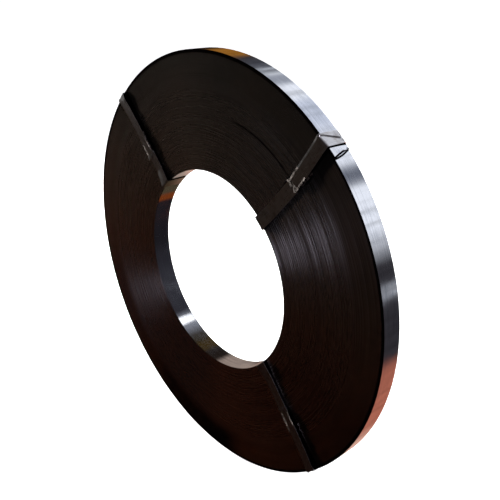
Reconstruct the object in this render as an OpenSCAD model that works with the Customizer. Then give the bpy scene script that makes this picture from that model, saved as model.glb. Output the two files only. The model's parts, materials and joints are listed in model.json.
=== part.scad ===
// Coil of narrow steel strip, bound by three steel straps

/* [Coil] */
// Diameter of the bore
bore_d = 200; // [120:1:400]
// Width of the strip, which is the distance between the coil's two ends
strip_w = 19; // [10:0.5:60]
// Thickness of the strip
strip_t = 0.9; // [0.75:0.05:1.5]
// Number of turns
turns = 121; // [100:1:180]
// Depth of the groove between neighbouring turns
groove_depth = 0.25; // [0.1:0.05:0.3]
// Width of the broken corner on each edge of the strip
edge_round = 0.2; // [0.1:0.05:0.25]
// How far a turn can stand out of line with its neighbours
stagger = 0.2; // [0:0.05:0.4]

/* [Straps] */
// Width of a strap
strap_w = 13; // [8:0.5:20]
// Thickness of a strap
strap_t = 0.4; // [0.3:0.05:0.6]
// Clearance between a strap and the coil
strap_gap = 0.05; // [0.02:0.01:0.1]
// Inside radius of the tight bends at the back
tight_bend = 0.2; // [0.1:0.05:0.3]
// Inside radius of the open bends at the front
open_bend = 1.5; // [1:0.1:2.5]
// Lift of the front leg over the edge of the bore
bore_lift = 3; // [2:0.1:5]
// Lift of the front leg over the edge of the rim
rim_lift = 2; // [1.5:0.1:4]
// Length over which a lifted end comes down to the face
ramp = 18; // [12:0.5:24]

/* [Lapped joints] */
// Length over which the two ends of a strap lap
lap_l = 30; // [24:1:36]
// Clearance between the lapped ends
lap_gap = 0.05; // [0.02:0.01:0.1]
// Number of notches along each edge of a joint
notches = 2; // [1:1:3]
// Spacing of the notches
notch_pitch = 9; // [8:0.5:10]
// Length of a notch
notch_l = 4; // [3:0.5:6]
// Depth of a notch
notch_depth = 2; // [1:0.25:2.5]
// Slit at each end of a bent tab
notch_slit = 0.3; // [0.1:0.05:0.5]
// Rise of the bent tab in a notch
tab_rise = 1; // [0.5:0.1:1.5]
// Length over which a tab runs into the strap
tab_root = 0.5; // [0.4:0.05:0.8]

/* [Upper right strap] */
// Angle at the bore
ur_bore_angle = 45.2; // [30:0.1:60]
// Angle at the joint
ur_joint_angle = 46.6; // [30:0.1:60]
// Angle at the rim
ur_rim_angle = 48.1; // [30:0.1:60]
// Place of the joint on the way from the bore to the rim
ur_joint_place = 0.62; // [0.4:0.01:0.65]

/* [Upper left strap] */
// Angle at the bore
ul_bore_angle = 133.3; // [120:0.1:150]
// Angle at the joint
ul_joint_angle = 133.6; // [120:0.1:150]
// Angle at the rim
ul_rim_angle = 134.0; // [120:0.1:150]
// Place of the joint on the way from the bore to the rim
ul_joint_place = 0.42; // [0.4:0.01:0.65]

/* [Lower right strap] */
// Angle at the bore
lr_bore_angle = -43.1; // [-60:0.1:-30]
// Angle at the joint
lr_joint_angle = -45.5; // [-60:0.1:-30]
// Angle at the rim
lr_rim_angle = -46.8; // [-60:0.1:-30]
// Place of the joint on the way from the bore to the rim
lr_joint_place = 0.53; // [0.4:0.01:0.65]

/* [Hidden] */
$fn = 96;

coil_color = "#2a211d";
strap_color = "#4a423e";

bore_r = bore_d / 2;
rim_r = bore_r + turns * strip_t;
// Height of a strap's underside over the coil's middle plane
face_z = strip_w / 2 + stagger + strap_gap;
// Height of the outer end of a strap where it lies on the inner end
lap_z = face_z + strap_t + lap_gap;
// Thickness of the two lapped ends together
lap_t = 2 * strap_t + lap_gap;
// Radii of a strap's legs in the bore and on the rim
inside_r = bore_r - strap_gap;
outside_r = rim_r + strap_gap;
// Flat points in each round bend
bend_steps = 6;
// Room round a shape that cuts another
cut_room = 20;

// Turns stand a little in or out, and the sum of two waves keeps them from repeating
function turn_shift(k) = stagger * (sin(k * 47) + sin(k * 83)) / 2;

// One edge of the wound strip: a broken corner, the slit edge and the next groove
function edge_points(k, side) =
    let (r = bore_r + k * strip_t, z = side * strip_w / 2 + turn_shift(k))
    [[r, z - side * groove_depth], [r + edge_round, z], [r + strip_t - edge_round, z]];

function end_profile(side) = [
    for (k = [0 : turns - 1]) each edge_points(k, side),
    [rim_r, side * (strip_w / 2 - groove_depth)]
];

function reversed(list) = [for (i = [len(list) - 1 : -1 : 0]) list[i]];
function unit(v) = v / norm(v);
function right_of(v) = [v[1], -v[0]];
function turned(v, a) = [v[0] * cos(a) - v[1] * sin(a), v[0] * sin(a) + v[1] * cos(a)];

// Round bend at a corner between two directions, offset to the outside of the band
function bend(corner, a, b, radius, offset) =
    let (
        angle = atan2(cross(a, b), a * b),
        hand = sign(angle),
        centre = corner - a * radius * tan(abs(angle) / 2) - hand * right_of(a) * radius
    )
    [for (i = [0 : bend_steps]) centre
        + hand * (radius + hand * offset) * turned(right_of(a), angle * i / bend_steps)];

// One side of a bent band that follows a path of corners
function band_side(path, radii, offset) =
    let (
        last = len(path) - 1,
        ways = [for (i = [0 : last - 1]) unit(path[i + 1] - path[i])]
    )
    concat(
        [path[0] + right_of(ways[0]) * offset],
        [for (i = [1 : last - 1]) each bend(path[i], ways[i - 1], ways[i], radii[i - 1], offset)],
        [path[last] + right_of(ways[last - 1]) * offset]
    );

function band(path, radii) =
    concat(band_side(path, radii, 0), reversed(band_side(path, radii, strap_t)));

function joint_radius(place) = bore_r + place * (rim_r - bore_r);
function polar(r, angle) = [r * cos(angle), r * sin(angle)];

// Sets its children along the line between two points of the plan, with +X along the line
module along(start, end) {
    way = end - start;
    translate([start[0], start[1], 0])
        rotate(atan2(way[1], way[0]))
            children();
}

// Part of a strap: a turned sleeve of the band, cut to the strap's width along a line
module leg(path, radii, start, end) {
    intersection() {
        rotate_extrude() polygon(band(path, radii));
        along(start, end)
            translate([-cut_room, -strap_w / 2, -face_z - cut_room])
                cube([norm(end - start) + 2 * cut_room, strap_w, 2 * (face_z + cut_room)]);
    }
}

// Paths of a strap's underside, as radius and height, with the lapped ends open
function inner_path(joint_r) = [
    [joint_r + lap_l / 2, face_z],
    [bore_r + ramp, face_z],
    [inside_r, face_z + bore_lift],
    [inside_r, 0]
];

function outer_path(joint_r) = [
    [outside_r, 0],
    [outside_r, face_z + rim_lift],
    [rim_r - ramp, lap_z],
    [joint_r - lap_l / 2, lap_z]
];

back_path = [
    [inside_r, 0],
    [inside_r, -face_z],
    [outside_r, -face_z],
    [outside_r, 0]
];
open_bends = [open_bend, open_bend];
tight_bends = [tight_bend, tight_bend];

// Sets its children at each notch, with +X along the joint and +Y to the notched edge
module at_notches() {
    for (edge = [0, 1], i = [0 : notches - 1])
        mirror([0, edge, 0])
            translate([(i - (notches - 1) / 2) * notch_pitch, strap_w / 2, face_z])
                children();
}

module notch_cut() {
    translate([-notch_l / 2, -notch_depth, -strap_t])
        cube([notch_l, notch_depth + strap_w / 2, lap_t + 2 * strap_t]);
}

// Both lapped ends bent up together, which keys them to each other
module tab() {
    rotate([90, 0, 90])
        linear_extrude(notch_l - 2 * notch_slit, center = true)
            polygon([
                [-notch_depth - tab_root, 0],
                [-notch_depth, 0],
                [0, tab_rise],
                [0, tab_rise + lap_t],
                [-notch_depth, lap_t],
                [-notch_depth - tab_root, lap_t]
            ]);
}

// One strap: two front legs that lap, a leg across the back, and the keyed joint
module strap(bore_angle, joint_angle, rim_angle, joint_place) {
    joint_r = joint_radius(joint_place);
    bore_point = polar(bore_r, bore_angle);
    joint_point = polar(joint_r, joint_angle);
    rim_point = polar(rim_r, rim_angle);
    difference() {
        union() {
            leg(inner_path(joint_r), open_bends, bore_point, joint_point);
            leg(back_path, tight_bends, bore_point, rim_point);
            leg(outer_path(joint_r), open_bends, joint_point, rim_point);
        }
        along(joint_point, rim_point) at_notches() notch_cut();
    }
    along(joint_point, rim_point) at_notches() tab();
}

module coil() {
    color(coil_color)
        rotate_extrude()
            polygon(concat(end_profile(1), reversed(end_profile(-1))));
}

module strap_upper_right() {
    color(strap_color)
        strap(ur_bore_angle, ur_joint_angle, ur_rim_angle, ur_joint_place);
}

module strap_upper_left() {
    color(strap_color)
        strap(ul_bore_angle, ul_joint_angle, ul_rim_angle, ul_joint_place);
}

module strap_lower_right() {
    color(strap_color)
        strap(lr_bore_angle, lr_joint_angle, lr_rim_angle, lr_joint_place);
}

// How far the straps reach in front of the coil's middle plane and behind it
front_reach = max([for (p = band(inner_path(joint_radius(ur_joint_place)), open_bends)) p[1]]);
back_reach = face_z + strap_t;

// The coil stands on its rim, with its front to -Y and its depth centred on Y = 0
module standing() {
    translate([0, (front_reach - back_reach) / 2, rim_r])
        rotate([90, 0, 0])
            children();
}

standing() coil();
standing() strap_upper_right();
standing() strap_upper_left();
standing() strap_lower_right();
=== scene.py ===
# %% [markdown]
# # A coil of steel strip
# Narrow steel strip leaves the mill wound flat on itself, like a roll of tape. The coil here stands on
# its rim. Its two ends show the slit edges of every turn, and its rim and bore show the polished face
# of the strip. Three thin steel straps keep the turns together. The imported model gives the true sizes,
# so it is loaded first and everything that follows is worked out from it.

import json
import math
from collections import namedtuple

import bmesh
import bpy
from mathutils import Matrix, Vector


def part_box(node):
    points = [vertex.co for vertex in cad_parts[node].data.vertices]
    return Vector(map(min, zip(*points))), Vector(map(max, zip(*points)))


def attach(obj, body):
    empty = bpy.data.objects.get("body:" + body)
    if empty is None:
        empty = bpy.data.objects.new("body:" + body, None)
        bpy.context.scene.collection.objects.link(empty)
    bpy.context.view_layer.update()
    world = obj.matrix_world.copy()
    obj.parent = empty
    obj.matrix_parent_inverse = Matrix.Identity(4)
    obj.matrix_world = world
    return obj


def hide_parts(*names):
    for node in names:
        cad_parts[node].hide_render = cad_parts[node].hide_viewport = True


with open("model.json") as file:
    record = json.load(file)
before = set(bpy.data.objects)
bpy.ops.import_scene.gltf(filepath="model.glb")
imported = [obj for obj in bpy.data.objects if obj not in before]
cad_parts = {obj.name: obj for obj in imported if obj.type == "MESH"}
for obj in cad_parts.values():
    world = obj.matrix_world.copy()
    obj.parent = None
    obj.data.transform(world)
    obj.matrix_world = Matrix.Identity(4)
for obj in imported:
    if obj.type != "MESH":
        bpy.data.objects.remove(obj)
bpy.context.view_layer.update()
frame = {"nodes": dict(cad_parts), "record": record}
MM = 0.001
print("nodes:", sorted(frame["nodes"]))

# %% [markdown]
# ## Sizes taken from the frame
# The bore is a stated mount, so its radius comes from the record. The rim's radius comes from the
# node's box. A coil is easiest to think of lying on its back, with its axis along Z and its front end
# up, so every piece is modelled that way and one matrix stands it on its rim at the end. The thickness
# of the strip, and how far a turn may stand out of line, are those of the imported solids.

# %% Measure the coil
coil_low, coil_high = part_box("coil")
coil_centre = (coil_low + coil_high) / 2
RIM_R = (coil_high.x - coil_low.x) / 2
BORE_R = frame["record"]["mounts"][0]["dims"]["r_mm"] * MM
STAGGER = 0.2 * MM
STRIP_W = coil_high.y - coil_low.y - 2 * STAGGER
STRIP_T = 0.9 * MM
LAYERS = round((RIM_R - BORE_R) / STRIP_T)
STAND = Matrix.Translation(coil_centre) @ Matrix.Rotation(math.radians(90), 4, "X")
print(f"rim radius {RIM_R / MM:.1f} mm, {LAYERS} layers")
print(f"strip {STRIP_W / MM:.1f} x {STRIP_T / MM:.1f} mm")


def finish_piece(bm, name):
    """Stands the lying mesh on its rim and makes it a piece of the object."""
    bmesh.ops.transform(bm, matrix=STAND, verts=bm.verts)
    mesh = bpy.data.meshes.new(name)
    bm.to_mesh(mesh)
    bm.free()
    piece = bpy.data.objects.new(name, mesh)
    bpy.context.scene.collection.objects.link(piece)
    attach(piece, "root")
    print(f"{name}: {len(mesh.polygons)} faces")
    return piece


# %% [markdown]
# ## The wound strip
# On the real coil every turn is a spiral, so the rim has a step where the strip's tail ends, and so has
# the bore where the strip begins. A plain turned ring would miss both. Here one section through all the
# turns is drawn with vertices that are pulled out one after another, spun once round the axis, and each
# column of the spin is then moved out by its share of one strip thickness. After a full circle every
# turn meets its neighbour and is welded to it, and only the two ends of the strip stay open and are
# filled.

# %% Draw the section through the turns
TURNS = LAYERS - 1
EDGE_ROUND = 0.2 * MM
GROOVE = 0.25 * MM
coil_bm = bmesh.new()
turn_layer = coil_bm.verts.layers.float.new("turn")


def pull_to(vert, radius, height, turn):
    """Pulls the next point of the section out of the last one."""
    new = bmesh.ops.extrude_vert_indiv(coil_bm, verts=[vert])["verts"][0]
    new.co = (radius, 0, height)
    new[turn_layer] = turn
    return new


def edge_points(turn, side):
    """Groove and both ends of the slit edge of one turn, as radius, height and turn."""
    radius = BORE_R + turn * STRIP_T
    height = side * STRIP_W / 2
    yield radius, height - side * GROOVE, turn
    yield radius + EDGE_ROUND, height, turn
    yield radius + STRIP_T - EDGE_ROUND, height, turn


def end_points(side):
    """All the points of one end of the coil, from the bore to the rim."""
    points = [p for turn in range(TURNS) for p in edge_points(turn, side)]
    return points + [(BORE_R + TURNS * STRIP_T, side * (STRIP_W / 2 - GROOVE), TURNS)]


section = end_points(1) + end_points(-1)[::-1]
first = last = coil_bm.verts.new((section[0][0], 0, section[0][1]))
first[turn_layer] = section[0][2]
for point in section[1:]:
    last = pull_to(last, *point)
coil_bm.edges.new((last, first))
print("points in the section:", len(coil_bm.verts))

# %% [markdown]
# The seam of the spiral lies under the upper right strap, and the tail of the strip comes out below it.
# Each turn also wanders a little along the axis, since no strip is wound quite level. The wander
# follows the length of the strip, so it has to be the same on both sides of the seam.

# %% Spin the section into a spiral
SEGMENTS = 128
SEAM_ANGLE = math.radians(47.5)
STEP_ZONE = math.radians(60)
WELD = 0.01 * MM
SLOW, FAST, FASTER, LAG = 0.37, 2.63, 2.77, 0.4
SLOW_SHARE, FAST_SHARE = 0.3, 0.06


def wander(length):
    """Height of a turn over the level, where length counts turns along the strip."""
    slow = math.sin(length * SLOW)
    fast = math.sin(length * FAST) + math.sin(length * FASTER + LAG)
    return STAGGER * (SLOW_SHARE * slow + FAST_SHARE * fast)


def step_share(angle):
    """Share of one strip thickness by which a turn stands out, by the angle from the seam."""
    rest = min(max((math.tau - angle) / STEP_ZONE, 0), 1)
    return rest * rest * (3 - 2 * rest)


# The spin isn't merged, because its first column is moved out by a strip thickness and its last isn't
spun = bmesh.ops.spin(
    coil_bm, geom=coil_bm.verts[:] + coil_bm.edges[:], cent=(0, 0, 0), axis=(0, 0, 1), dvec=(0, 0, 0),
    angle=math.tau, steps=SEGMENTS, use_merge=False, use_duplicate=False,
)
last_column = {v for v in spun["geom_last"] if isinstance(v, bmesh.types.BMVert)}
for vert in coil_bm.verts:
    angle = math.tau if vert in last_column else math.atan2(vert.co.y, vert.co.x) % math.tau
    share = step_share(angle)
    radius = vert.co.xy.length + share * STRIP_T
    vert[turn_layer] += share
    vert.co.xy = Vector((math.cos(angle + SEAM_ANGLE), math.sin(angle + SEAM_ANGLE))) * radius
    vert.co.z += wander(vert[turn_layer])
bmesh.ops.remove_doubles(coil_bm, verts=coil_bm.verts, dist=WELD)
open_edges = [e for e in coil_bm.edges if e.is_boundary]
filled = bmesh.ops.holes_fill(coil_bm, edges=open_edges, sides=0)
bmesh.ops.recalc_face_normals(coil_bm, faces=coil_bm.faces)
print("ends of the strip closed:", len(filled["faces"]))

# %% [markdown]
# The last centimetre of the strip is free. Its end springs off the rim a little and is snipped at a
# slant with a hollow cut, and the shears leave the cut sloping, so it draws a dark line on the bright
# rim. The filled end of the outermost turn is pulled out in short steps along the rim, each step a
# little further out than the last.

# %% Pull out the tail
TAIL_STEPS, TAIL_TURN = 5, math.radians(-0.6)
TAIL_LIFT, TAIL_BOW = 0.15 * MM, 0.4 * MM
TAIL_SLANT, TAIL_HOLLOW, TAIL_SLOPE = 2.6 * MM, 0.4 * MM, 1.5 * MM
TAIL_CUTS, TAIL_CURL, TAIL_END = 7, 6, 2
SAME_WAY = 0.9
strip_end = max(filled["faces"], key=lambda f: f.calc_center_median().xy.length)
end_normal, end_middle = strip_end.normal.copy(), strip_end.calc_center_median().copy()
long_edges = [e for e in strip_end.edges if e.calc_length() > STRIP_W / 2]
bmesh.ops.subdivide_edges(coil_bm, edges=long_edges, cuts=TAIL_CUTS)
coil_bm.normal_update()
tail_faces = []
for face in coil_bm.faces:
    at_end = (face.calc_center_median() - end_middle).xy.length < STRIP_T / 2
    if at_end and abs(face.normal.dot(end_normal)) > SAME_WAY:
        tail_faces.append(face)
turning = Matrix.Rotation(TAIL_TURN, 4, "Z")
for step in range(1, TAIL_STEPS + 1):
    pulled = bmesh.ops.extrude_face_region(coil_bm, geom=tail_faces)["geom"]
    bmesh.ops.delete(coil_bm, geom=tail_faces, context="FACES")
    tail_faces = [g for g in pulled if isinstance(g, bmesh.types.BMFace)]
    tail_verts = [g for g in pulled if isinstance(g, bmesh.types.BMVert)]
    bmesh.ops.transform(coil_bm, matrix=turning, verts=tail_verts)
    lift = TAIL_LIFT * (2 * step - 1) / TAIL_STEPS ** 2
    bow = TAIL_BOW * (step ** TAIL_CURL - (step - 1) ** TAIL_CURL) / TAIL_STEPS ** TAIL_CURL
    for vert in tail_verts:
        across = vert.co.z / (STRIP_W / 2)
        vert.co.xy *= 1 + (lift + bow * (1 - across * across)) / vert.co.xy.length
for vert in tail_verts:
    across = vert.co.z / (STRIP_W / 2)
    bulge = 1 - across * across
    outer = vert.co.xy.length > RIM_R - STRIP_T / 2 + TAIL_LIFT + TAIL_BOW * bulge
    set_back = TAIL_HOLLOW * bulge - TAIL_SLANT * across + TAIL_SLOPE * outer
    vert.co = Matrix.Rotation(set_back / RIM_R, 3, "Z") @ vert.co
for face in tail_faces:
    face.material_index = TAIL_END
bmesh.ops.recalc_face_normals(coil_bm, faces=coil_bm.faces)
print(f"tail free over {TAIL_STEPS * -TAIL_TURN * RIM_R / MM:.0f} mm, {len(tail_faces)} faces on its end")

# %% [markdown]
# The faces are smooth along the strip and sharp across it. Marking the sharp edges keeps each turn
# crisp and lets the rim reflect as one even band.

# %% Finish the coil
SHARP = math.radians(20)
for face in coil_bm.faces:
    face.smooth = True
for edge in coil_bm.edges:
    edge.smooth = edge.calc_face_angle(math.pi) < SHARP
coil = finish_piece(coil_bm, "wound_strip")
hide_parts("coil")

# %% [markdown]
# ## The binding straps
# Each strap is a flat steel band that is folded round the coil's section: across the front, through the
# bore, along the back and over the rim, with its two ends lapped on the front. A curve with a flat
# profile could give that, but a row of edges that is pulled along from fold to fold keeps every fold
# where the real one has it, and leaves whole faces to cut and bend at the joint. The sizes are those of
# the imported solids.

# %% Sizes of a strap
STRAP_W, STRAP_T, STRAP_GAP = 13 * MM, 0.4 * MM, 0.05 * MM
FACE_Z = STRIP_W / 2 + STAGGER + STRAP_GAP
LAP_Z = FACE_Z + STRAP_T + STRAP_GAP
OUTSIDE_R = RIM_R + STRAP_GAP
BORE_LIFT, RIM_LIFT, RAMP = 3 * MM, 2 * MM, 18 * MM
OPEN_BEND, TIGHT_BEND = 1.5 * MM, 0.2 * MM
INNER_END, TORN_ROOT, OUTER_END = 15 * MM, -7 * MM, -11 * MM
NOTCH_ENDS = [n * MM for n in (6.5, 2.5, -2.5, -6.5)]
NOTCH_DEPTH = 2 * MM
EDGE = STRAP_W / 2
COLUMNS = [-EDGE, NOTCH_DEPTH - EDGE, -1.5 * MM, 1.5 * MM, EDGE - NOTCH_DEPTH, EDGE]
print(f"underside of the straps {(FACE_Z - STRIP_W / 2) / MM:.2f} mm off the face")


def polar(radius, degrees):
    """Point of the plan."""
    return Vector((radius, 0)) @ Matrix.Rotation(math.radians(-degrees), 2)


def row_at(point, way, height):
    """Matrix that carries a row of edges along Y to its place on the strap."""
    return Matrix.Translation((*point, height)) @ Matrix.Rotation(math.atan2(way.y, way.x), 4, "Z")


# %% [markdown]
# The three straps differ in their angles, in the place of the joint and in the way they lie. The tool
# that made a joint pulled its two legs out of line and off the face, so each strap leans a little to
# one side, and that edge throws a shadow on the face. The angles are given at the bore, at the joint
# for the inner and the outer leg, and at the rim. The joint's place is a share of the way from the bore
# to the rim.

# %% The three straps
Strap = namedtuple("Strap", "bore inner outer rim joint hand bow flange lean tab bare")
STRAPS = {
    "strap_upper_right": Strap(
        bore=45.2, inner=46.35, outer=46.7, rim=48.3, joint=0.62, hand=1,
        bow=0.3 * MM, flange=0.8 * MM, lean=0.6 * MM, tab=0.5 * MM, bare=True),
    "strap_upper_left": Strap(
        bore=133.3, inner=133.4, outer=133.8, rim=134.0, joint=0.42, hand=1,
        bow=0, flange=0.2 * MM, lean=1.55 * MM, tab=0.3 * MM, bare=False),
    "strap_lower_right": Strap(
        bore=-43.1, inner=-45.7, outer=-45.3, rim=-46.8, joint=0.53, hand=-1,
        bow=0, flange=0.2 * MM, lean=1.55 * MM, tab=0.3 * MM, bare=False),
}
for name, strap in STRAPS.items():
    print(f"{name}: from {strap.bore} to {strap.rim} degrees, leans {strap.lean / MM:.1f} mm")

# %% [markdown]
# A row stands for one line across the strap. It knows the leg that it lies on, its place, the radius of
# the wall that it hugs, the radius of the bend that it becomes, whether a notch ends there and whether
# the strap was torn off there.

# %% Rows of a strap
Row = namedtuple("Row", "leg place hug bend notch torn", defaults=(None, None, False, False))
FOLD_ROOM = 7 * MM
BACK_SHARES = (0.2, 0.4, 0.6, 0.8)
RIM_SHARES = (-0.75, -0.4, 0, 0.4, 0.75)


def strap_rows(strap):
    """Rows from the inner end to the outer end of a strap."""
    joint_r = BORE_R + strap.joint * (RIM_R - BORE_R)
    bore, rim = polar(BORE_R, strap.bore), polar(RIM_R, strap.rim)
    inner_joint, outer_joint = polar(joint_r, strap.inner), polar(joint_r, strap.outer)
    inner, outer, back = (v.normalized() for v in (inner_joint - bore, rim - outer_joint, rim - bore))
    seam_turn = (math.radians(strap.bore) - SEAM_ANGLE) % math.tau
    inside_r = BORE_R + step_share(seam_turn) * STRIP_T - STRAP_GAP
    under, over = FACE_Z + strap.bow, LAP_Z + strap.flange + strap.bow
    rim_z = FACE_Z + RIM_LIFT
    for t in (INNER_END, *NOTCH_ENDS):
        yield Row("inner", row_at(inner_joint + inner * t, inner, under), notch=t in NOTCH_ENDS)
    yield Row("inner", row_at(bore + inner * RAMP, inner, FACE_Z + strap.bow / 2))
    yield Row("inner", row_at(bore, inner, FACE_Z + BORE_LIFT), inside_r, OPEN_BEND)
    yield Row("bore", row_at(bore, inner + back, 0), inside_r)
    yield Row("bore", row_at(bore, back, -FACE_Z), inside_r, TIGHT_BEND)
    for share in BACK_SHARES:
        yield Row("back", row_at(bore.lerp(rim, share), back, -FACE_Z))
    yield Row("back", row_at(rim, back, -FACE_Z), OUTSIDE_R, TIGHT_BEND)
    for share in RIM_SHARES:
        yield Row("rim", row_at(rim, back.lerp(outer, (share + 1) / 2), share * FACE_Z), OUTSIDE_R)
    yield Row("rim", row_at(rim, outer, rim_z), OUTSIDE_R, OPEN_BEND)
    ramp_z = over - strap.bow / 2
    fold_z = rim_z + (ramp_z - rim_z) * FOLD_ROOM / RAMP
    yield Row("outer", row_at(rim - outer * FOLD_ROOM, outer, fold_z))
    yield Row("outer", row_at(rim - outer * RAMP, outer, ramp_z))
    for t in (*NOTCH_ENDS, TORN_ROOT, OUTER_END):
        place = row_at(outer_joint + outer * t, outer, over)
        yield Row("outer", place, notch=t in NOTCH_ENDS, torn=t == OUTER_END)


print("rows of a strap:", len(list(strap_rows(STRAPS["strap_upper_right"]))))

# %% [markdown]
# The strap isn't quite flat. The outer leg has one edge pressed down over a few millimetres, which
# catches the light along the whole leg. On the rim a crease runs across the band at a slant, and the
# lower edge stands off the rim, so it draws a dark line there. It stands off the more, the more the leg
# was pressed.

# %% Shape of a row
CREASE_FRONT, CREASE_BACK = 4.6 * MM, -1.8 * MM
CREASE_W, CREASE_RISE = 1.2 * MM, 0.8 * MM
EDGE_RISE, RAISED_STEPS = 2.4, 3
TORN_CORNER = 1.3 * MM
TORN_RISE = [n * MM for n in (0, 0.3, 0.1, 0.5, 0.2, 0.9)]


def row_shape(strap, row):
    """Offset across and rise of each column of a row."""
    if row.leg == "rim":
        depth = (FACE_Z - row.place.translation.z) / (2 * FACE_Z)
        crease = CREASE_FRONT + (CREASE_BACK - CREASE_FRONT) * min(max(depth, 0), 1)
        low = crease - CREASE_W / 2
        raised = []
        for i in range(RAISED_STEPS + 1):
            share = i / RAISED_STEPS
            raised.append((-EDGE + (low + EDGE) * share, EDGE_RISE * strap.flange * (1 - share)))
        return [*raised, (crease + CREASE_W / 2, CREASE_RISE), (EDGE, 0)]
    if row.leg in ("bore", "back") or row.hug:
        return [(c, 0) for c in COLUMNS]
    pressed = strap.flange if row.leg == "outer" else 0
    shape = []
    for c, torn in zip(COLUMNS, TORN_RISE):
        last = c == EDGE
        rise = strap.lean * (EDGE - c) / STRAP_W - pressed * last + torn * row.torn
        shape.append((c + TORN_CORNER * (last and row.torn), rise))
    return shape


most_pressed = max(strap.flange for strap in STRAPS.values())
print(f"crease on the rim {CREASE_W / MM:.1f} mm wide")
print(f"lower edge up to {EDGE_RISE * most_pressed / MM:.1f} mm off the rim")

# %% [markdown]
# The rows are pulled out one after another with sharp folds. A bevel of the fold lines then gives each
# bend its radius, as a press brake does.

# %% Fold a strap
BEND_SEGMENTS = 6
TORN_END = [n * MM for n in (0.3, -0.8, 0.6, -1.0, 0.9, -0.4)]


def fold_strap(strap):
    """Strap without thickness, and the edges where its notches are slit."""
    bm = bmesh.new()
    column_layer = bm.verts.layers.int.new("column")
    across = bm.verts.layers.float.new("across")
    along = bm.verts.layers.float.new("along")
    verts = [bm.verts.new((0, c, 0)) for c in COLUMNS]
    for column, vert in enumerate(verts):
        vert[column_layer] = column
    edges = [bm.edges.new(pair) for pair in zip(verts, verts[1:])]
    length, last = 0.0, None
    bends, slits = {OPEN_BEND: [], TIGHT_BEND: []}, []
    for row in strap_rows(strap):
        if last:
            pulled = bmesh.ops.extrude_edge_only(bm, edges=edges)["geom"]
            verts = [g for g in pulled if isinstance(g, bmesh.types.BMVert)]
            verts.sort(key=lambda v: v[column_layer])
            edges = [bm.edges.get(pair) for pair in zip(verts, verts[1:])]
            length += (row.place.translation - last.place.translation).length
        for vert, (offset, rise), tear in zip(verts, row_shape(strap, row), TORN_END):
            vert.co = row.place @ Vector((tear * row.torn, strap.hand * offset, 0))
            vert[across], vert[along] = offset, length
            if row.hug:
                vert.co.xy *= (row.hug + rise) / vert.co.xy.length
            else:
                vert.co.z += rise
        if row.bend:
            bends[row.bend] += edges
        if row.notch:
            slits += [edges[0], edges[-1]]
        last = row
    bmesh.ops.recalc_face_normals(bm, faces=bm.faces)
    for radius, folds in bends.items():
        bmesh.ops.bevel(bm, geom=folds, offset=radius, offset_type="OFFSET", affect="EDGES",
                        segments=BEND_SEGMENTS, profile=0.5, material=-1, clamp_overlap=True)
    return bm, slits


trial_bm, trial_slits = fold_strap(STRAPS["strap_upper_right"])
print(f"a folded strap has {len(trial_bm.faces)} faces and {len(trial_slits)} slits")
trial_bm.free()

# %% [markdown]
# The joint has no seal. A tool slits both lapped ends at their edges and bends the little tabs between
# the slits up, and the tabs hook the two ends together. The slit edges are split open, and the free
# corners of each tab are turned up and drawn in a little.

# %% Key a joint
SLIT, CORNER_ROOM = 0.3 * MM, 0.1 * MM


def is_tab(face):
    """A tab hangs by one edge, and its other three edges are free."""
    return sum(e.is_boundary for e in face.edges) == 3


def key_joint(bm, slits, rise):
    """Opens the slits and turns the tabs up; gives the tabs."""
    across = bm.verts.layers.float["across"]
    bmesh.ops.split_edges(bm, edges=slits)
    tabs = [f for f in bm.faces if is_tab(f)]
    for face in tabs:
        middle = face.calc_center_median()
        for vert in face.verts:
            if abs(abs(vert[across]) - EDGE) < CORNER_ROOM:
                vert.co.z += rise
                vert.co.xy += (middle.xy - vert.co.xy).normalized() * SLIT
    return tabs


print(f"slits {SLIT / MM:.1f} mm wide")

# %% [markdown]
# Each strap gets its thickness last, so that the slits and tabs get theirs too. The tabs and the torn
# end keep a material slot of their own, because they are bare.

# %% Make the straps
FOLD, TORN_ROOM = math.radians(8), 1.05
straps = {}
for name, strap in STRAPS.items():
    strap_bm, slits = fold_strap(strap)
    tabs = key_joint(strap_bm, slits, strap.tab)
    along = strap_bm.verts.layers.float["along"]
    torn_off = max(v[along] for v in strap_bm.verts) - (TORN_ROOT - OUTER_END) * TORN_ROOM
    torn = [f for f in strap_bm.faces if strap.bare and all(v[along] > torn_off for v in f.verts)]
    for face in tabs + torn:
        face.material_index = 1
    bmesh.ops.solidify(strap_bm, geom=strap_bm.faces[:], thickness=STRAP_T)
    bmesh.ops.recalc_face_normals(strap_bm, faces=strap_bm.faces)
    for face in strap_bm.faces:
        face.smooth = True
    for edge in strap_bm.edges:
        edge.smooth = edge.calc_face_angle(math.pi) < FOLD
    piece = finish_piece(strap_bm, name.replace("strap", "binding"))
    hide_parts(name)
    straps[name] = piece
    front = min(v.co.y for v in piece.data.vertices)
    print(f"{name}: {len(tabs)} tabs, front at {front / MM:.2f} mm")

# %% [markdown]
# ## Camera
# The camera stands to the right of the coil's front and looks a little down on it. Its lens and place
# were fitted to the outlines of the rim and the bore.

# %% Camera
AZIMUTH = math.radians(48.56)
ELEVATION = math.radians(23.51)
LENS, SENSOR = 45.65, 36
RIGHT_OF_FACE, ABOVE_FACE, BACK_FROM_FACE = 0.1795, 0.1007, 2.98
camera_data = bpy.data.cameras.new("camera")
camera_data.lens = LENS
camera_data.sensor_width = SENSOR
camera = bpy.data.objects.new("camera", camera_data)
bpy.context.scene.collection.objects.link(camera)
bpy.context.scene.camera = camera
camera.rotation_euler = (math.pi / 2 - ELEVATION, 0, AZIMUTH)
turn = camera.rotation_euler.to_matrix()
face_centre = coil_centre - Vector((0, STRIP_W / 2, 0))
camera.location = face_centre + turn @ Vector((RIGHT_OF_FACE, ABOVE_FACE, BACK_FROM_FACE)) * RIM_R
print("camera at", [round(c, 3) for c in camera.location])

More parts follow.
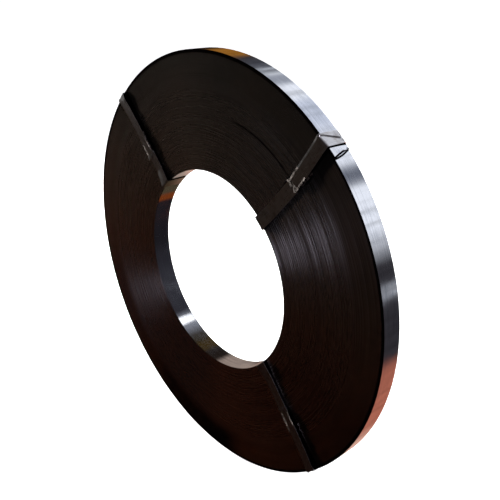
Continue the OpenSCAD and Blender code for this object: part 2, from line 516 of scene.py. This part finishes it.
# %% [markdown]
# ## Colours and nodes
# Colours are written as the eye sees them, in sRGB hex, and one function turns them to the linear
# values that the shader works with. A second function adds a node, sets its options and links its
# inputs, and every material and the world use it.

# %% Helpers for materials


def linear(hex_colour, alpha=1.0):
    """Linear RGBA of an sRGB hex colour."""
    values = [int(hex_colour[i:i + 2], 16) / 255 for i in (1, 3, 5)]
    return (*[v / 12.92 if v <= 0.04045 else ((v + 0.055) / 1.055) ** 2.4 for v in values], alpha)


def add(tree, kind, inputs=None, stops=(), **settings):
    """Adds a node; an input is a value, or a socket to link. Stops are places and colours on a ramp."""
    node = tree.nodes.new("ShaderNode" + kind)
    for key, value in settings.items():
        setattr(node, key, value)
    for key, value in (inputs or {}).items():
        if isinstance(value, bpy.types.NodeSocket):
            tree.links.new(value, node.inputs[key])
        else:
            node.inputs[key].default_value = value
    for _ in stops[2:]:
        node.color_ramp.elements.new(0.5)
    for index, (position, colour) in enumerate(stops):
        element = node.color_ramp.elements[index]
        element.position, element.color = position, linear(colour)
    return node


def new_material(name):
    """Empty node material with its output and its shader."""
    material = bpy.data.materials.new(name)
    material.use_nodes = True
    tree = material.node_tree
    tree.nodes.clear()
    shader = add(tree, "BsdfPrincipled")
    add(tree, "OutputMaterial", {"Surface": shader.outputs["BSDF"]})
    return material, tree, shader


print("mid grey in linear light:", round(linear("#808080")[0], 3))

# %% [markdown]
# ## Slit edges
# The ends of the coil are the slit edges of cold-rolled strip, left dark by mill oxide and a film of
# oil. To the eye they are nearly black, with fine lighter and darker lines that follow the turns. They
# are painted darker and redder towards the floor, as shade from light that falls from above. The
# number of the turn is stored on the mesh, so noise that reads it runs along the strip without any
# drawing. The lines are drawn about one strip thickness wide, which is as fine as the render can show.

# %% Lines on the slit edges
edge_steel, tree, shader = new_material("oiled_slit_edge_steel")
object_place = add(tree, "TexCoord").outputs["Object"]
place = add(tree, "SeparateXYZ", {0: object_place})
turn_no = add(tree, "Attribute", attribute_name="turn").outputs["Fac"]
LINE_W, LINE_LENGTH, STAIN_SIZE = 1 * MM, 300 * MM, 90 * MM
stretched = add(tree, "Mapping", {"Vector": object_place, "Scale": (LINE_LENGTH,) * 3},
                vector_type="TEXTURE")
along_line = add(tree, "SeparateXYZ", {0: stretched.outputs[0]})
across_line = add(tree, "Math", {0: turn_no, 1: STRIP_T / LINE_W}, operation="MULTIPLY")
winding = add(tree, "CombineXYZ", {
    0: across_line.outputs[0], 1: along_line.outputs["X"], 2: along_line.outputs["Z"]})
lines = add(tree, "TexNoise", {
    "Vector": winding.outputs[0], "Scale": 1.0, "Detail": 2.0, "Roughness": 0.6})
stain = add(tree, "TexNoise", {
    "Vector": object_place, "Scale": 1 / STAIN_SIZE, "Detail": 4.0, "Roughness": 0.6})
print(f"lines {LINE_LENGTH / MM:.0f} mm long, stains {STAIN_SIZE / MM:.0f} mm wide")

# %% Oxide of the slit edges, painted darker towards the floor
# Painted shade: the oxide is darker and redder towards the floor, as if the light fell from above.
SHADED_BELOW, LIT_ABOVE, UNEVEN = 60 * MM, 480 * MM, 140 * MM
OXIDE_SHADE = [
    (0.0, "#180702"), (0.3, "#1b0a05"), (0.5, "#26150e"), (0.65, "#271b15"), (0.8, "#251d18"),
    (1.0, "#201c19"),
]
height = add(tree, "Math", {0: stain.outputs["Fac"], 1: UNEVEN, 2: place.outputs["Z"]},
             operation="MULTIPLY_ADD")
lit_share = add(tree, "MapRange", {
    "Value": height.outputs[0], "From Min": SHADED_BELOW, "From Max": LIT_ABOVE})
oxide_shade = add(tree, "ValToRGB", {"Fac": lit_share.outputs["Result"]}, stops=OXIDE_SHADE)
pale = add(tree, "MapRange", {
    "Value": lines.outputs["Fac"], "From Min": 0.25, "From Max": 0.75, "To Min": 0.82})
tone = add(tree, "Mix", {
    "Factor": pale.outputs["Result"], 6: linear("#0a0705"), 7: oxide_shade.outputs["Color"]}, data_type="RGBA")
print(f"{len(OXIDE_SHADE)} tones of oxide")

# %% [markdown]
# The ends carry dark marks: a painted shadow on the shadow side of each strap, widening outwards, a
# painted shadow beside the torn joint, a black smear low on the left, a dark curved line near that joint
# and a dark border on the last turns. Each mark is a share from 0 to 1, made of limits on the place or
# the turn, and the strongest one darkens the oxide.

# %% A mark


def mark(tree, *limits):
    """Share of a mark. A limit is a value, its middle, and how far from it the mark is full and gone."""
    share = 1.0
    for value, middle, full, gone in limits:
        shifted = add(tree, "Math", {0: value, 1: middle}, operation="SUBTRACT")
        distance = add(tree, "Math", {0: shifted.outputs[0]}, operation="ABSOLUTE")
        inside = add(tree, "MapRange", {"Value": distance.outputs[0], "From Min": gone, "From Max": full},
                     interpolation_type="SMOOTHSTEP")
        both = add(tree, "Math", {0: share, 1: inside.outputs["Result"]}, operation="MULTIPLY")
        share = both.outputs[0]
    return share


print("nodes before the marks:", len(tree.nodes))

# %% Marks on the slit edges
# Painted shadows beside the straps: a dark wedge on the shadow side of each strap, turned this many
# degrees off it.
FACE_SHADOW_TURN = {"strap_upper_right": 0.4, "strap_upper_left": 2.4, "strap_lower_right": 1.8}
FACE_SHADOW_SIDE, FACE_SHADOW_FULL, FACE_SHADOW_GONE, FACE_SHADOW_END = 1.3 * MM, EDGE - 0.2 * MM, EDGE + 0.5 * MM, 5 * MM
# Painted shadow beside the torn joint: its side, its place along the strap, its width and its length.
JOINT_SHADOW_SIDE, JOINT_SHADOW_PLACE = 8 * MM, 75 * MM
# A pair says how far from its middle a mark is full and gone
JOINT_SHADOW_WIDTH, JOINT_SHADOW_LENGTH = (2.5 * MM, 4 * MM), (4 * MM, 8 * MM)
marks = []
for name, strap in STRAPS.items():
    bore, rim = polar(BORE_R, strap.bore), polar(RIM_R, strap.rim)
    way = rim - bore
    turned = math.atan2(way.y, way.x) - strap.hand * math.radians(FACE_SHADOW_TURN[name])
    on_strap = add(tree, "Mapping", {
        "Vector": object_place, "Location": STAND @ Vector((*bore, 0)), "Rotation": (0, -turned, 0)},
        vector_type="TEXTURE")
    shadow_place = add(tree, "SeparateXYZ", {0: on_strap.outputs[0]})
    half_way = way.length / 2
    # A painted shadow along the shadow side of the strap, widening outwards.
    marks.append(mark(
        tree, (shadow_place.outputs["Z"], -strap.hand * FACE_SHADOW_SIDE, FACE_SHADOW_FULL, FACE_SHADOW_GONE),
        (shadow_place.outputs["X"], half_way, half_way, half_way + FACE_SHADOW_END)))
    # A painted shadow beside the torn joint.
    if strap.bare:
        marks.append(mark(
            tree, (shadow_place.outputs["Z"], -strap.hand * JOINT_SHADOW_SIDE, *JOINT_SHADOW_WIDTH),
            (shadow_place.outputs["X"], JOINT_SHADOW_PLACE, *JOINT_SHADOW_LENGTH)))
print("marks along the straps:", len(marks))

# %% Smear, dark curved line and border
SMEAR_X, FLOOR_LEVEL = -32 * MM, 0
SMEAR_TURNS, SMEAR_HEIGHT, SMEAR_REACH = (17, 43), (70 * MM, 110 * MM), (45 * MM, 85 * MM)
PATCHY, BORDER_TURNS = (0.5, 0.75), (3, 4.5)
ARC_CENTRE, ARC_R = (17 * MM, 0, coil_centre.z + 29 * MM), 125 * MM
ARC_X, ARC_TOP, ARC_LINE = 68 * MM, 2 * RIM_R, (0.4 * MM, 1.2 * MM)
ARC_REACH, ARC_DROP = (25 * MM, 42 * MM), (108 * MM, 118 * MM)
marks.append(mark(
    tree, (turn_no, LAYERS, *SMEAR_TURNS), (place.outputs["Z"], FLOOR_LEVEL, *SMEAR_HEIGHT),
    (place.outputs["X"], SMEAR_X, *SMEAR_REACH), (stain.outputs["Fac"], 1, *PATCHY)))
# A thin dark curved line near the joint.
flat = add(tree, "CombineXYZ", {0: place.outputs["X"], 2: place.outputs["Z"]})
dark_arc = add(tree, "VectorMath", {0: flat.outputs[0], 1: ARC_CENTRE}, operation="DISTANCE")
marks.append(mark(
    tree, (dark_arc.outputs["Value"], ARC_R, *ARC_LINE),
    (place.outputs["X"], ARC_X, *ARC_REACH), (place.outputs["Z"], ARC_TOP, *ARC_DROP)))
marks.append(mark(tree, (turn_no, LAYERS, *BORDER_TURNS)))
dark = marks[0]
for share in marks[1:]:
    dark = add(tree, "Math", {0: dark, 1: share}, operation="MAXIMUM").outputs[0]
print("marks on the ends:", len(marks))

# %% [markdown]
# Oil keeps the slit edges glossy. The marks are a little duller, and the outer turns are duller still
# and shine less, because hands wiped their oil off. The gloss follows the lines, so the light breaks up
# along the turns, most of all below the upper right strap, where the oil lies in streaks.

# %% Gloss of the slit edges
marked = add(tree, "Mix", {"Factor": dark, 6: tone.outputs[2], 7: linear("#020101")}, data_type="RGBA")
gloss = add(tree, "MapRange", {
    "Value": lines.outputs["Fac"], "From Min": 0.3, "From Max": 0.7, "To Min": 0.32, "To Max": 0.24})
MARK_DULL, HANDLED_DULL = 0.08, 0.12
HANDLED_TURNS, CLEAN_TURNS = 22, 40
dulled_by_marks = add(tree, "Math", {0: dark, 1: MARK_DULL, 2: gloss.outputs["Result"]}, operation="MULTIPLY_ADD")
handled = mark(tree, (turn_no, LAYERS, HANDLED_TURNS, CLEAN_TURNS))
matt = add(tree, "Math", {0: handled, 1: HANDLED_DULL, 2: dulled_by_marks.outputs[0]}, operation="MULTIPLY_ADD")
tree.links.new(marked.outputs[2], shader.inputs["Base Color"])
tree.links.new(matt.outputs[0], shader.inputs["Roughness"])
print("nodes for the slit edges so far:", len(tree.nodes))

# %% Shine of the slit edges
STREAKS_X, STREAKS_Z = 120 * MM, coil_centre.z + 70 * MM
STREAKS_SIZE, STREAKS_END = 60 * MM, 95 * MM
USUAL_SHINE, SHINE_LOST = 0.5, -0.8
streaky = mark(tree, (place.outputs["X"], STREAKS_X, STREAKS_SIZE, STREAKS_END),
               (place.outputs["Z"], STREAKS_Z, STREAKS_SIZE, STREAKS_END))
streaks = add(tree, "MapRange", {
    "Value": lines.outputs["Fac"], "From Min": 0.35, "From Max": 0.65, "To Min": -0.32, "To Max": 0.3})
glint = add(tree, "Math", {0: streaky, 1: streaks.outputs["Result"], 2: USUAL_SHINE},
            operation="MULTIPLY_ADD")
wiped_off = add(tree, "Math", {0: handled, 1: SHINE_LOST, 2: 1.0}, operation="MULTIPLY_ADD")
# The dark marks lose their shine: the smear and the painted shadows alike.
dirt_and_shadow_dull = add(tree, "Math", {0: dark, 1: SHINE_LOST, 2: 1.0}, operation="MULTIPLY_ADD")
kept = add(tree, "Math", {0: wiped_off.outputs[0], 1: dirt_and_shadow_dull.outputs[0]}, operation="MULTIPLY")
sheen = add(tree, "Math", {0: glint.outputs[0], 1: kept.outputs[0]}, operation="MULTIPLY")
tree.links.new(sheen.outputs[0], shader.inputs["Specular IOR Level"])
print("nodes for the slit edges:", len(tree.nodes))

# %% [markdown]
# ## Rolled faces
# The rim and the bore show the flat face of the strip, which polished rolls leave bright. It mirrors
# its surroundings in long soft bands, and fine rolling lines and dull spots of dried oil break them.
# The rolling lines are drawn about a millimetre apart, much coarser than real ones, so that they show.

# %% Rolled steel
rolled_steel, tree, shader = new_material("bright_rolled_steel")
object_place = add(tree, "TexCoord").outputs["Object"]
ROLL_LINE, ROLL_LENGTH, SPOT_SIZE = 0.9 * MM, 70 * MM, 16 * MM
stretched = add(tree, "Mapping", {"Vector": object_place, "Scale": (ROLL_LENGTH, ROLL_LINE, ROLL_LENGTH)},
                vector_type="TEXTURE")
rolling = add(tree, "TexNoise", {"Vector": stretched.outputs[0], "Scale": 1.0, "Detail": 3.0})
spots = add(tree, "TexNoise", {
    "Vector": object_place, "Scale": 1 / SPOT_SIZE, "Detail": 5.0, "Roughness": 0.65})
both = add(tree, "Math", {0: rolling.outputs["Fac"], 1: spots.outputs["Fac"]}, operation="ADD")
wiped = add(tree, "MapRange", {"Value": both.outputs[0], "From Min": 0.75, "From Max": 1.1})
shine = add(tree, "Mix", {"Factor": wiped.outputs["Result"], 6: linear("#c8cbd2"), 7: linear("#dddfe4")},
            data_type="RGBA")
polish = add(tree, "MapRange", {
    "Value": spots.outputs["Fac"], "From Min": 0.35, "From Max": 0.65, "To Min": 0.14, "To Max": 0.06})
print("nodes for the rolled faces so far:", len(tree.nodes))

# %% [markdown]
# Shadows are painted as dark lines where something lies on the bright face: in a curved line below the
# tail, along the lower edge of the strap on the rim, and beside the strap leg in the bore. These lines
# are placed by the angle round the axis, and their widths are lengths along the rim or the bore. The
# painted shadow is black, with no metal showing through it and no shine of its own.

# %% Angle round the axis
turn_no = add(tree, "Attribute", attribute_name="turn").outputs["Fac"]
centred = add(tree, "Mapping", {
    "Vector": object_place, "Location": coil_centre, "Scale": (1, STRIP_W / 2, 1)}, vector_type="TEXTURE")
round_axis = add(tree, "SeparateXYZ", {0: centred.outputs[0]})
depth = round_axis.outputs["Y"]
turned = add(tree, "Math", {0: round_axis.outputs["Z"], 1: round_axis.outputs["X"]}, operation="ARCTAN2")
angle = turned.outputs[0]
ON_WALL, OFF_WALL = 10, 20
on_rim, in_bore = (turn_no, LAYERS, ON_WALL, OFF_WALL), (turn_no, 0, ON_WALL, OFF_WALL)
print("nodes to find the angle:", len(tree.nodes))

# %% Painted shadow lines on the rolled faces
TAIL_SHADOW_W, TAIL_SHADOW_FADE, TAIL_SHADOW_BOW = 0.5 * MM, 1.0 * MM, 0.9 * MM
LEG_SHADOW_SIDE, LEG_SHADOW_W, LEG_SHADOW_FADE = 1.8 * MM, 2.4 * MM, 3.0 * MM
UNDER_STRAP, RIM_SHADOW_W, RIM_SHADOW_FADE = 1.0 * MM, 1.5 * MM, 2.0 * MM
RIM_SHADOW_SLANT = -0.5 * MM
upper_right, upper_left = STRAPS["strap_upper_right"], STRAPS["strap_upper_left"]
tail_angle = SEAM_ANGLE + TAIL_STEPS * TAIL_TURN
bowed = add(tree, "Math", {0: depth, 1: TAIL_SHADOW_BOW / RIM_R, 2: TAIL_SLANT / RIM_R},
            operation="MULTIPLY_ADD")
tail_line = add(tree, "Math", {0: bowed.outputs[0], 1: depth, 2: tail_angle - TAIL_SHADOW_BOW / RIM_R},
                operation="MULTIPLY_ADD")
strap_angle = math.radians(upper_right.rim) - (EDGE - UNDER_STRAP) / RIM_R
strap_line = add(tree, "Math", {0: depth, 1: RIM_SHADOW_SLANT / RIM_R, 2: strap_angle},
                 operation="MULTIPLY_ADD")
leg_angle = math.radians(upper_left.bore) - (EDGE + LEG_SHADOW_SIDE) / BORE_R
painted_shadow_lines = [
    mark(tree, on_rim, (angle, tail_line.outputs[0], TAIL_SHADOW_W / RIM_R, TAIL_SHADOW_FADE / RIM_R)),
    mark(tree, on_rim, (angle, strap_line.outputs[0], RIM_SHADOW_W / RIM_R, RIM_SHADOW_FADE / RIM_R)),
    mark(tree, in_bore, (angle, leg_angle, LEG_SHADOW_W / BORE_R, LEG_SHADOW_FADE / BORE_R)),
]
print("oil lines:", len(painted_shadow_lines))

# %% Painted shadows over the rolled steel
dulled_by_marks = painted_shadow_lines[0]
for share in painted_shadow_lines[1:]:
    dulled_by_marks = add(tree, "Math", {0: dulled_by_marks, 1: share}, operation="MAXIMUM").outputs[0]
# The painted shadow lines are black, not metal, and have no shine.
shadow_lined = add(tree, "Mix", {"Factor": dulled_by_marks, 6: shine.outputs[2], 7: linear("#08090c")}, data_type="RGBA")
bare = add(tree, "Math", {0: 1.0, 1: dulled_by_marks}, operation="SUBTRACT")
tree.links.new(shadow_lined.outputs[2], shader.inputs["Base Color"])
tree.links.new(bare.outputs[0], shader.inputs["Metallic"])
shader.inputs["Specular IOR Level"].default_value = 0.0
tree.links.new(polish.outputs["Result"], shader.inputs["Roughness"])
print("nodes for the rolled faces:", len(tree.nodes))

# %% [markdown]
# Both finishes belong to one mesh. A slit edge looks along the coil's axis and a rolled face looks away
# from it, so the normals can share the faces out, and none has to be picked by hand. Only the cut end
# of the tail is set apart, because it is dark like the slit edges.

# %% Share out the coil's materials
ROLLED = 0.3
for material in (edge_steel, rolled_steel):
    coil.data.materials.append(material)
for polygon in coil.data.polygons:
    bright = abs(polygon.normal.y) < ROLLED and polygon.material_index != TAIL_END
    polygon.material_index = int(bright)
print("bright faces:", sum(p.material_index for p in coil.data.polygons))

# %% [markdown]
# ## Strapping
# Steel strapping is cold-rolled band with a thin blue-grey oxide. It is a satin metal, with scratches
# along the band and a bare line worn along each edge. The inner end, which lies under the lap, is
# painted in shade, and the legs in the bore are darker and more olive. The place along and across the
# band is stored on the mesh, so the scratches follow it round every fold. They are drawn nearly a
# millimetre wide, coarser than real ones, so that they show.

# %% Strap steel
strap_steel, tree, shader = new_material("blued_strapping_steel")
shader.inputs["Metallic"].default_value = 1.0
across = add(tree, "Attribute", attribute_name="across").outputs["Fac"]
along = add(tree, "Attribute", attribute_name="along").outputs["Fac"]
SCRATCH_W, SCRATCH_LENGTH, OIL_SIZE = 0.9 * MM, 22 * MM, 9 * MM
LAP_LENGTH, LAP_FADE = 24 * MM, 1 * MM
band = add(tree, "CombineXYZ", {0: across, 1: along})
stretched = add(tree, "Mapping", {"Vector": band.outputs[0], "Scale": (SCRATCH_W, SCRATCH_LENGTH, 1)},
                vector_type="TEXTURE")
scratched = add(tree, "TexNoise", {"Vector": stretched.outputs[0], "Scale": 1.0, "Detail": 3.0})
oil = add(tree, "TexNoise", {
    "Vector": band.outputs[0], "Scale": 1 / OIL_SIZE, "Detail": 4.0, "Roughness": 0.65})
rubbed = add(tree, "MapRange", {"Value": scratched.outputs["Fac"], "From Min": 0.3, "From Max": 0.7})
satin = add(tree, "Mix", {"Factor": rubbed.outputs["Result"], 6: linear("#d2d0cf"), 7: linear("#e6e4e3")},
            data_type="RGBA")
dull = add(tree, "MapRange", {
    "Value": scratched.outputs["Fac"], "From Min": 0.3, "From Max": 0.7, "To Min": 0.35, "To Max": 0.26})
print("nodes for the strapping so far:", len(tree.nodes))

# %% Wear, oil and painted shade on the straps
WORN_FROM, WORN_FULL = EDGE - 0.8 * MM, EDGE - 0.2 * MM
OIL_FILM = (0.25, 0.55)
inner_part = mark(tree, (across, 0, WORN_FROM, WORN_FULL))
outer_part = add(tree, "Math", {0: 1.0, 1: inner_part}, operation="SUBTRACT")
worn = add(tree, "Math", {0: outer_part.outputs[0], 1: scratched.outputs["Fac"]}, operation="MULTIPLY")
edged = add(tree, "Mix", {"Factor": worn.outputs[0], 6: satin.outputs[2], 7: linear("#f4f2f0")},
            data_type="RGBA")
filmed = add(tree, "Mix", {
    "Factor": mark(tree, (oil.outputs["Fac"], 1, *OIL_FILM)), 6: edged.outputs[2], 7: linear("#b2aca8")},
    data_type="RGBA")
# Painted shade on the inner end, which lies under the lapped outer end.
shaded_lap = add(tree, "Mix", {
    "Factor": mark(tree, (along, 0, LAP_LENGTH - LAP_FADE, LAP_LENGTH)),
    6: filmed.outputs[2], 7: linear("#5a524c")}, data_type="RGBA")
print("nodes for the strapping so far:", len(tree.nodes))

# %% [markdown]
# The legs in the bore are found by their distance from the axis. A very large scale along Y takes the
# depth out of that distance.

# %% Darker, olive legs in the bore
FLATTEN, LEG_DARK_FULL, LEG_DARK_GONE = 1000, 0.8 * MM, 1.6 * MM
object_place = add(tree, "TexCoord").outputs["Object"]
flat = add(tree, "Mapping", {
    "Vector": object_place, "Location": coil_centre, "Scale": (1, FLATTEN, 1)}, vector_type="TEXTURE")
from_axis = add(tree, "VectorMath", {0: flat.outputs[0]}, operation="LENGTH")
darker_in_bore = add(tree, "Mix", {
    "Factor": mark(tree, (from_axis.outputs["Value"], BORE_R, LEG_DARK_FULL, LEG_DARK_GONE)),
    6: shaded_lap.outputs[2], 7: linear("#8e8c80")}, data_type="RGBA")
tree.links.new(darker_in_bore.outputs[2], shader.inputs["Base Color"])
tree.links.new(dull.outputs["Result"], shader.inputs["Roughness"])
print("nodes for the strapping:", len(tree.nodes))

# %% [markdown]
# Where the joint tool sheared the band, the steel is bare and torn. It is lighter and rougher than the
# oxide, with dark specks where oil has run in.

# %% Bare steel
TEAR_SIZE = 2.2 * MM
bare_steel, tree, shader = new_material("sheared_bare_steel")
shader.inputs["Metallic"].default_value = 0.55
shader.inputs["Roughness"].default_value = 0.55
object_place = add(tree, "TexCoord").outputs["Object"]
tears = add(tree, "TexNoise", {
    "Vector": object_place, "Scale": 1 / TEAR_SIZE, "Detail": 3.0, "Roughness": 0.7})
specks = add(tree, "MapRange", {"Value": tears.outputs["Fac"], "From Min": 0.44, "From Max": 0.56})
speckled = add(tree, "Mix", {
    "Factor": specks.outputs["Result"], 6: linear("#2c2522"), 7: linear("#a89e97")}, data_type="RGBA")
tree.links.new(speckled.outputs[2], shader.inputs["Base Color"])
for piece in straps.values():
    piece.data.materials.append(strap_steel)
    piece.data.materials.append(bare_steel)
print("materials:", [m.name for m in straps["strap_upper_right"].data.materials])

# %% [markdown]
# ## Floor
# The coil stands on a plain white floor that is large enough to have no visible edge. It glows a
# little, so it stays evenly white, and the steel doesn't mirror it, because the surroundings below
# carry the light for that.

# %% Floor
FLOOR = 60
floor_mesh = bpy.data.meshes.new("floor")
floor_bm = bmesh.new()
bmesh.ops.create_grid(floor_bm, x_segments=1, y_segments=1, size=FLOOR / 2)
floor_bm.to_mesh(floor_mesh)
floor_bm.free()
floor = bpy.data.objects.new("floor", floor_mesh)
bpy.context.scene.collection.objects.link(floor)
floor_white, tree, shader = new_material("floor_white")
shader.inputs["Base Color"].default_value = linear("#f4f4f4")
shader.inputs["Roughness"].default_value = 1.0
shader.inputs["Emission Color"].default_value = linear("#ffffff")
shader.inputs["Emission Strength"].default_value = 0.9
floor_mesh.materials.append(floor_white)
floor.visible_glossy = False
floor.visible_diffuse = False
print(f"floor {FLOOR} m wide")

# %% [markdown]
# A white wall stands round the floor, as in a photo studio. It only closes the picture: it throws no
# shadow and the steel doesn't mirror it.

# %% Backdrop
WALL_HEIGHT, WALL_R = 40, FLOOR * 0.48
wall_mesh = bpy.data.meshes.new("backdrop")
wall_bm = bmesh.new()
bmesh.ops.create_cone(
    wall_bm, segments=64, radius1=WALL_R, radius2=WALL_R, depth=WALL_HEIGHT,
    matrix=Matrix.Translation((0, 0, WALL_HEIGHT / 2)),
)
wall_bm.to_mesh(wall_mesh)
wall_bm.free()
wall = bpy.data.objects.new("backdrop", wall_mesh)
bpy.context.scene.collection.objects.link(wall)
wall_white, tree, shader = new_material("backdrop_white")
shader.inputs["Base Color"].default_value = linear("#000000")
shader.inputs["Specular IOR Level"].default_value = 0.0
shader.inputs["Emission Color"].default_value = linear("#ffffff")
shader.inputs["Emission Strength"].default_value = 1.0
wall_mesh.materials.append(wall_white)
wall.visible_glossy = False
wall.visible_diffuse = False
wall.visible_shadow = False
print(f"backdrop {WALL_HEIGHT} m high")

# %% [markdown]
# ## Surroundings
# Bright steel looks like whatever stands around it, so most of the finish of the rim and the bore is
# made here. Both mirror directions that lie on a cone round the coil's axis, which makes one angle
# enough: the roll round that axis. A band of colours by roll serves the rim, a second one serves the
# bore, and a third one by elevation serves the front, where the surroundings are dark. Straight behind
# the coil, where the bands would meet, the surroundings are plain grey, and the back of the coil
# mirrors that.

# %% Directions of the world
world = bpy.data.worlds.new("studio")
bpy.context.scene.world = world
world.use_nodes = True
tree = world.node_tree
tree.nodes.clear()
way = add(tree, "SeparateXYZ", {"Vector": add(tree, "TexCoord").outputs["Generated"]})
roll = add(tree, "Math", {0: way.outputs["Z"], 1: way.outputs["X"]}, operation="ARCTAN2")
roll_share = add(tree, "Math", {0: roll.outputs[0], 1: 1 / math.tau, 2: 0.5}, operation="MULTIPLY_ADD")
rise = add(tree, "Math", {0: way.outputs["Z"]}, operation="ARCSINE")
rise_share = add(tree, "Math", {0: rise.outputs[0], 1: 1 / math.pi, 2: 0.5}, operation="MULTIPLY_ADD")
print("nodes for the directions:", len(tree.nodes))

# %% Colours behind the coil
WHITE, BLUE_GREY, GREY, LINE = "#eef1f8", "#ccd2e0", "#6a6e79", "#a2a4aa"
PALE, PEWTER, SLATE = "#d0d4da", "#969aa4", "#54565e"
DARK, SHADE = "#312f33", "#241e1b"
WARM, PALE_WARM, AMBER = "#ad6652", "#cfa593", "#926024"
BEHIND = [
    (-180, SHADE), (-160, SHADE), (-146, PALE_WARM), (-112, PALE_WARM), (-94, WARM), (-57, WARM),
    (-48, DARK), (-16, DARK), (-13, LINE), (-9, LINE), (-6, DARK), (4, DARK), (24, WHITE), (46, WHITE),
    (52, GREY), (57, GREY), (63, WHITE), (76, WHITE), (88, BLUE_GREY), (103, BLUE_GREY), (106, WHITE),
    (117, WHITE), (119, PEWTER), (126, PEWTER), (127.5, PALE), (132, SLATE), (133.5, PALE), (135, SLATE),
    (149, DARK), (155, AMBER), (168, AMBER), (175, SHADE),
]
behind_stops = [(0.5 + degrees / 360, colour) for degrees, colour in BEHIND]
behind = add(tree, "ValToRGB", {"Fac": roll_share.outputs[0]}, stops=behind_stops)
STREAK_COUNT = 90.0
streaks = add(tree, "TexNoise", {
    "W": roll_share.outputs[0], "Scale": STREAK_COUNT, "Detail": 3.0, "Roughness": 0.6},
    noise_dimensions="1D")
streak = add(tree, "MapRange", {
    "Value": streaks.outputs["Fac"], "From Min": 0.52, "From Max": 0.66, "To Min": 1.0, "To Max": 0.62})
streaked = add(tree, "Mix", {"Factor": 1.0, 6: behind.outputs["Color"], 7: streak.outputs["Result"]},
               data_type="RGBA", blend_type="MULTIPLY")
print("colours behind the coil:", len(BEHIND))

# %% Colours beside the coil
BEIGE, OLIVE, ORANGE, NAVY = "#96857a", "#423b2c", "#6f3413", "#1c1a1e"
STEEL, GLINT, OCHRE, UMBER = "#2c2b31", "#7a7c84", "#392b0f", "#201a16"
BESIDE = [
    (-180, BEIGE), (-128, BEIGE), (-126, OLIVE), (-93, OLIVE), (-91, ORANGE), (-83, ORANGE), (-79, NAVY),
    (-26, NAVY), (11, STEEL), (62, STEEL), (72, GLINT), (84, GLINT), (96, "#3a3632"), (107, "#2e2614"),
    (109, OCHRE), (121, OCHRE), (125, UMBER), (143, UMBER), (150, BEIGE), (180, BEIGE),
]
beside_stops = [(0.5 + degrees / 360, colour) for degrees, colour in BESIDE]
beside = add(tree, "ValToRGB", {"Fac": roll_share.outputs[0]}, stops=beside_stops)
print("colours beside the coil:", len(BESIDE))

# %% Colours before the coil
BEFORE = [
    (-90, "#130804"), (-45, "#130804"), (-25, "#20150e"), (-5, "#211d19"), (35, "#28282c"),
    (60, "#4c4c52"), (90, "#c8c8d0"),
]
before_stops = [(0.5 + degrees / 180, colour) for degrees, colour in BEFORE]
before = add(tree, "ValToRGB", {"Fac": rise_share.outputs[0]}, stops=before_stops)
print("colours before the coil:", len(BEFORE))

# %% Put the surroundings together
SIDE_FROM, SIDE_FULL = 0.25, 0.42
BACK_FROM, BACK_FULL = 0.55, 0.566
POLE_FROM, POLE_FULL = 0.84, 0.92
to_side = add(tree, "MapRange", {
    "Value": way.outputs["Y"], "From Min": SIDE_FROM, "From Max": SIDE_FULL},
    interpolation_type="SMOOTHSTEP")
to_back = add(tree, "MapRange", {
    "Value": way.outputs["Y"], "From Min": BACK_FROM, "From Max": BACK_FULL})
half = add(tree, "Mix", {
    "Factor": to_side.outputs["Result"], 6: before.outputs["Color"], 7: beside.outputs["Color"]},
    data_type="RGBA")
around = add(tree, "Mix", {
    "Factor": to_back.outputs["Result"], 6: half.outputs[2], 7: streaked.outputs[2]}, data_type="RGBA")
to_pole = add(tree, "MapRange", {
    "Value": way.outputs["Y"], "From Min": POLE_FROM, "From Max": POLE_FULL})
closed = add(tree, "Mix", {
    "Factor": to_pole.outputs["Result"], 6: around.outputs[2], 7: linear("#5c5e64")}, data_type="RGBA")
sky = add(tree, "Background", {"Color": closed.outputs[2], "Strength": 1.25})
add(tree, "OutputWorld", {"Surface": sky.outputs[0]})
print("nodes for the world:", len(tree.nodes))

# %% [markdown]
# ## Lights
# Five soft panels finish the light. A small one high up puts the highlight in the bore, a larger one
# near the camera lights the turns on the right, a card at the left brightens the pressed edge of the
# straps, a low panel at the left grazes the face, so that the straps throw their shadows to the right,
# and a wide one lights the back.

# %% A soft panel


def soft_panel(name, azimuth, elevation, distance, width, height, radiance, colour="#ffffff"):
    """Area light that faces the coil; azimuth counts from behind the coil towards its right."""
    light = bpy.data.lights.new(name, "AREA")
    light.shape = "RECTANGLE"
    light.size, light.size_y = width, height
    light.energy = radiance * math.pi * width * height
    light.color = linear(colour)[:3]
    panel = bpy.data.objects.new(name, light)
    bpy.context.scene.collection.objects.link(panel)
    a, e = math.radians(azimuth), math.radians(elevation)
    way = Vector((math.sin(a) * math.cos(e), math.cos(a) * math.cos(e), math.sin(e)))
    panel.location = coil_centre + way * distance
    panel.rotation_euler = way.to_track_quat("Z", "Y").to_euler()
    panel.visible_camera = False
    print(f"{name}: {light.energy:.2f} W")
    return panel


# %% Panels
soft_panel("eye_panel", azimuth=24, elevation=57, distance=2.5, width=0.35, height=0.3, radiance=1.65)
window_panel = soft_panel("window_panel", azimuth=134, elevation=20, distance=2.0, width=0.65, height=0.7,
                          radiance=7.0, colour="#e8e0f4")
window_panel.visible_diffuse = False
soft_panel("left_card", azimuth=-108, elevation=-4, distance=2.5, width=0.35, height=0.5, radiance=0.45)
left_panel = soft_panel("left_panel", azimuth=-100, elevation=-5, distance=1.2, width=0.08, height=0.4,
                        radiance=1100)
left_panel.visible_glossy = False
back_panel = soft_panel("back_panel", azimuth=15, elevation=30, distance=2.0, width=1.2, height=0.8,
                        radiance=8)
back_panel.visible_glossy = False
bpy.context.scene.view_settings.view_transform = "Standard"
